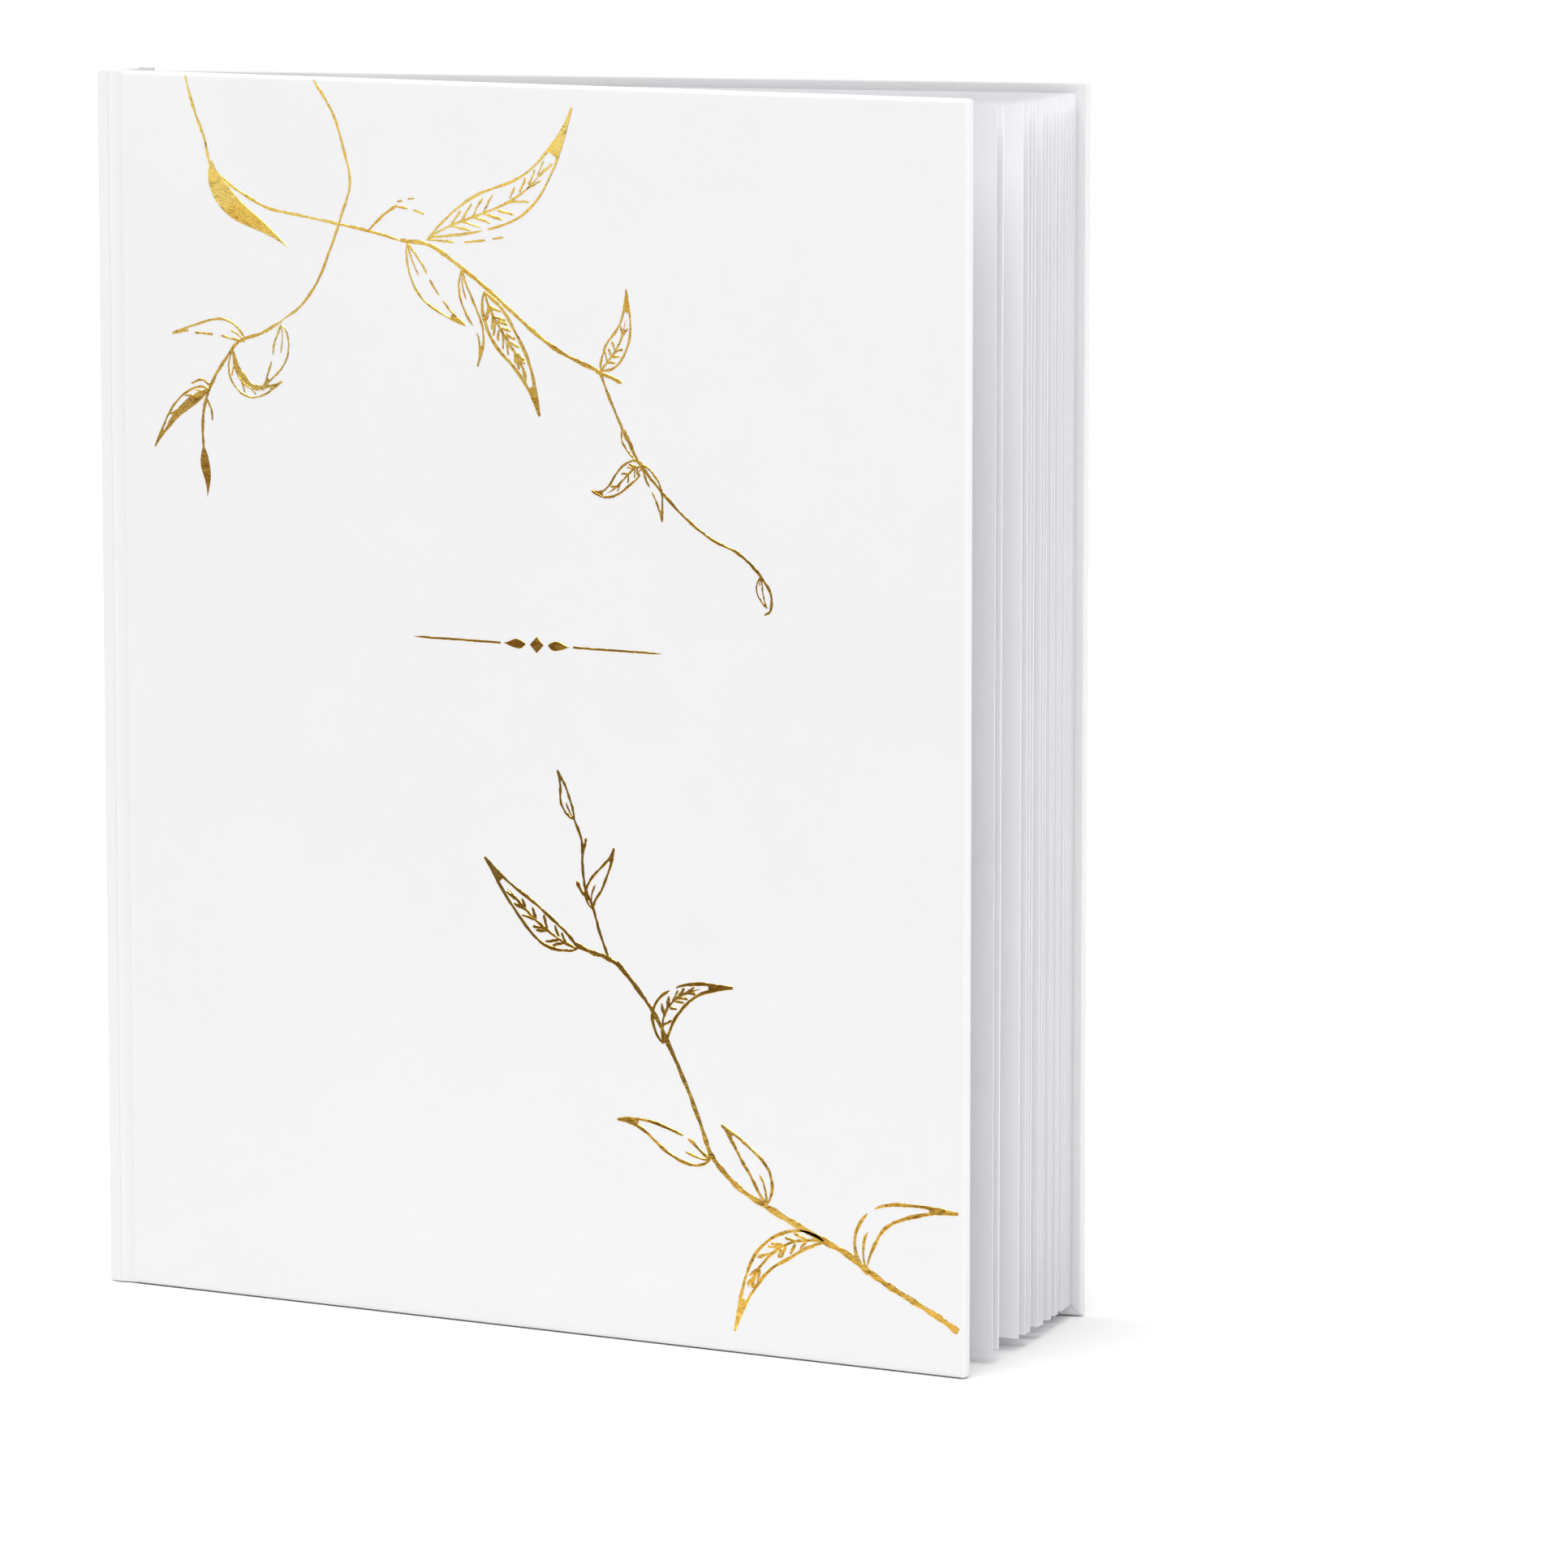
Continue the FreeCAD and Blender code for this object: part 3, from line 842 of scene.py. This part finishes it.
# sprig that rises from the lower fore-edge corner
twig(lower, [(200.7, 9.0), (196, 11.6), (190, 14.4), (184.5, 17), (180, 19.5)], 1.25, (0.9, 1.0))
twig(lower, [(180.5, 19), (175.5, 22.3), (169, 25), (162, 28), (156.5, 30.5)], 1.35, (1.0, 1.0))
twig(lower, [(157, 30.2), (151.5, 33), (147, 36.6), (144, 40)], 1.15, (1.0, 0.9))
twig(lower, [(144.3, 39.4), (141.8, 46), (138.8, 53), (135, 60.5), (131.5, 67), (127, 72.5),
             (122.5, 77.2)], 0.95, (0.9, 1.0))
twig(lower, [(123.5, 76.4), (120, 78), (116.5, 78.8), (112.6, 80.2)], 1.0, (0.8, 0.7))
twig(lower, [(120.6, 78), (118.6, 83), (117, 88), (115.2, 92), (114.6, 97), (114.4, 101.5),
             (112.6, 106)], 0.65, (0.8, 0.7))
twig(lower, [(116.2, 89.5), (114.3, 91.2), (113.2, 93.2)], 0.75, (1.0, 0.3))
twig(lower, [(114.6, 98.6), (115.2, 100.6), (115.5, 102)], 0.65, (1.0, 0.3))
leaf(lower, [(112.8, 105.6), (110, 108.5), (111, 111), (108.8, 115.4)], 1.25, "outline", 0.58)
leaf(lower, [(117, 87.6), (115.2, 92.5), (120.4, 94), (122, 100.4)], 1.8, "outline", 0.6)
leaf(lower, [(113.4, 79.2), (106.5, 81), (99.5, 87), (91.6, 96.4)], 3.1, "veined", 0.70, veins=7)
leaf(lower, [(133.4, 61.5), (131.8, 69.5), (137, 73.8), (149.4, 74)], 2.9, "veined", 0.72,
     veins=6, peak=0.36, breaks=((0, 0.52, 0.58),))
leaf(lower, [(144.2, 38.6), (137, 38), (133.5, 45.5), (122.6, 45)], 2.8, "outline", 0.70,
     breaks=((1, 0.34, 0.40),))
leaf(lower, [(157, 30.6), (158, 36), (151.5, 42), (146.8, 46)], 2.4, "outline", 0.70)
leaf(lower, [(170.6, 24.2), (160.5, 25.5), (153.5, 19), (149.8, 4.0)], 2.9, "veined", 0.72,
     veins=7, peak=0.42)
leaf(lower, [(179.8, 19.6), (176.5, 30.5), (187, 33.5), (200.6, 32.8)], 2.7, "outline", 0.76,
     peak=0.34, breaks=((0, 0.42, 0.48),))
lower.finish("foil_sprig_lower")

# plain rule with a diamond and two small leaves where the wording would be
rule_low, rule_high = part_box("cover_foil")
rule_z = (rule_low.z + rule_high.z) / 2 / MM
rule_left = (rule_low.x - SPINE_X) / MM
rule_right = (rule_high.x - SPINE_X) / MM
rule_middle = (rule_left + rule_right) / 2
RULE_WIDTH, RULE_GAP = 0.5, 8.5       # mm: the gap runs from its middle to each half
HALF_DIAMOND = Vector((1.6, 1.7))     # mm
rule = Stamp()
for start, stop in ((rule_left, rule_middle - RULE_GAP), (rule_right, rule_middle + RULE_GAP)):
    rule.stroke([Vector((lerp(start, stop, k / 24), rule_z)) for k in range(25)],
                RULE_WIDTH, (0.3, 1.0), 0.05)
for turn in (-1, 1):
    leaf(rule, [(rule_middle + turn * reach, rule_z) for reach in (2.6, 4.2, 6.0, 7.8)], 1.1,
         "solid")
left_tip = Vector((rule_middle - HALF_DIAMOND.x, rule_z))
right_tip = Vector((rule_middle + HALF_DIAMOND.x, rule_z))
rule.strip([left_tip, Vector((rule_middle, rule_z + HALF_DIAMOND.y)), right_tip],
           [left_tip, Vector((rule_middle, rule_z - HALF_DIAMOND.y)), right_tip])
foil_rule = rule.finish("foil_rule")
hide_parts("cover_foil")

# ------------------------------------------------------------------ floor, light and camera
floor_material, floor_nodes, floor_links, floor_shader, floor_place = material(
    "studio_floor", (0.90, 0.90, 0.91), 0.75, specular=0.0)
soft = noise_node(floor_nodes, floor_links, floor_place, 6, 3)
floor_links.new(ramp_node(floor_nodes, floor_links, soft, [(0.3, (0.89, 0.89, 0.90)),
                                                           (0.7, (0.91, 0.91, 0.915))]),
                floor_shader.inputs["Base Color"])
HALF_FLOOR = 40.0                     # metres
FLOOR_GAP = 0.22 * MM                 # a real tail edge touches only here and there


def stage_plane(name, corners, look):
    plane = new_object(name, corners, [(0, 1, 2, 3)], look, smooth_faces=False)
    return plane


stage_plane("studio_floor", [(-HALF_FLOOR, -HALF_FLOOR, -FLOOR_GAP),
                             (HALF_FLOOR, -HALF_FLOOR, -FLOOR_GAP),
                             (HALF_FLOOR, HALF_FLOOR, -FLOOR_GAP),
                             (-HALF_FLOOR, HALF_FLOOR, -FLOOR_GAP)], floor_material)


# cards that only reflections see, as round a studio table: two on the floor and three upright
CARD_FOOT = 0.0005                    # just above the floor
CARD_Y = -0.27                        # the upright cards near the book stand here


def card_look(name, shade):
    """Warm brown that darkens the gold it is reflected in."""
    return material(name, (shade, shade * 0.66, shade * 0.42), 0.9)[0]


def reflected_card(name, half_width, near, far, look):
    """Card between two (y, z) edges, hidden from everything but glossy rays."""
    card = stage_plane(name, [(-half_width, *near), (half_width, *near),
                              (half_width, *far), (-half_width, *far)], look)
    card.visible_camera = False
    card.visible_diffuse = False
    card.visible_shadow = False
    card.visible_transmission = False


DARK_CARD = card_look("dark_card", 0.13)
BROWN_CARD = card_look("brown_card", 0.36)
PALE_CARD = material("pale_card", (0.58, 0.50, 0.42), 0.9)[0]
reflected_card("near_floor_card", 0.6, (-0.05, CARD_FOOT), (-0.17, CARD_FOOT), PALE_CARD)
reflected_card("floor_card", 0.8, (-0.17, CARD_FOOT), (CARD_Y, CARD_FOOT), DARK_CARD)
reflected_card("low_card", 0.8, (CARD_Y, CARD_FOOT), (CARD_Y, 0.120), DARK_CARD)
reflected_card("middle_card", 0.8, (CARD_Y, 0.120), (CARD_Y, 0.170), BROWN_CARD)
reflected_card("far_card", 3.0, (-2.6, 0.75), (-2.6, 2.0), DARK_CARD)

world = bpy.data.worlds.new("studio")
world.use_nodes = True
scene.world = world
background = world.node_tree.nodes["Background"]
background.inputs["Color"].default_value = (0.98, 0.965, 1.0, 1)
background.inputs["Strength"].default_value = 0.48


def area_light(name, place, aim, size, power):
    """Square light of this size, in metres, turned towards aim."""
    data = bpy.data.lights.new(name, "AREA")
    data.size = size
    data.energy = power
    lamp = bpy.data.objects.new(name, data)
    scene.collection.objects.link(lamp)
    lamp.location = place
    lamp.rotation_mode = "QUATERNION"
    lamp.rotation_quaternion = (Vector(aim) - Vector(place)).to_track_quat("-Z", "Y")


# a wide, soft sun almost straight overhead keeps the floor white as far as the camera sees
sun_data = bpy.data.lights.new("overhead", "SUN")
sun_data.energy = 2.9
sun_data.angle = math.radians(50)
sun_data.color = (1.0, 1.0, 0.975)
sun = bpy.data.objects.new("overhead", sun_data)
scene.collection.objects.link(sun)
sun.rotation_mode = "QUATERNION"
sun.rotation_quaternion = Vector((-0.02, 0.22, -1.0)).to_track_quat("-Z", "Y")

centre = (cad_low + cad_high) / 2
area_light("key_left", (-1.4, -0.3, 0.9), centre, 1.0, 1.6)
area_light("fill_right", (1.9, -0.35, 0.5), centre, 1.2, 6.8)

scene.view_settings.view_transform = "Standard"

CAMERA_PLACE = Vector((0.8614, -1.4830, 0.3558))
CAMERA_YAW = 28.93                    # the book is turned this far from the image plane
CAMERA_PITCH = 8.22
SENSOR = 36.0
LENS = 192.93
camera_data = bpy.data.cameras.new("camera")
camera_data.sensor_width = SENSOR
camera_data.lens = LENS
camera_data.clip_end = 50
camera = bpy.data.objects.new("camera", camera_data)
scene.collection.objects.link(camera)
camera.location = CAMERA_PLACE
camera.rotation_euler = (math.radians(90 - CAMERA_PITCH), 0, math.radians(CAMERA_YAW))
scene.camera = camera
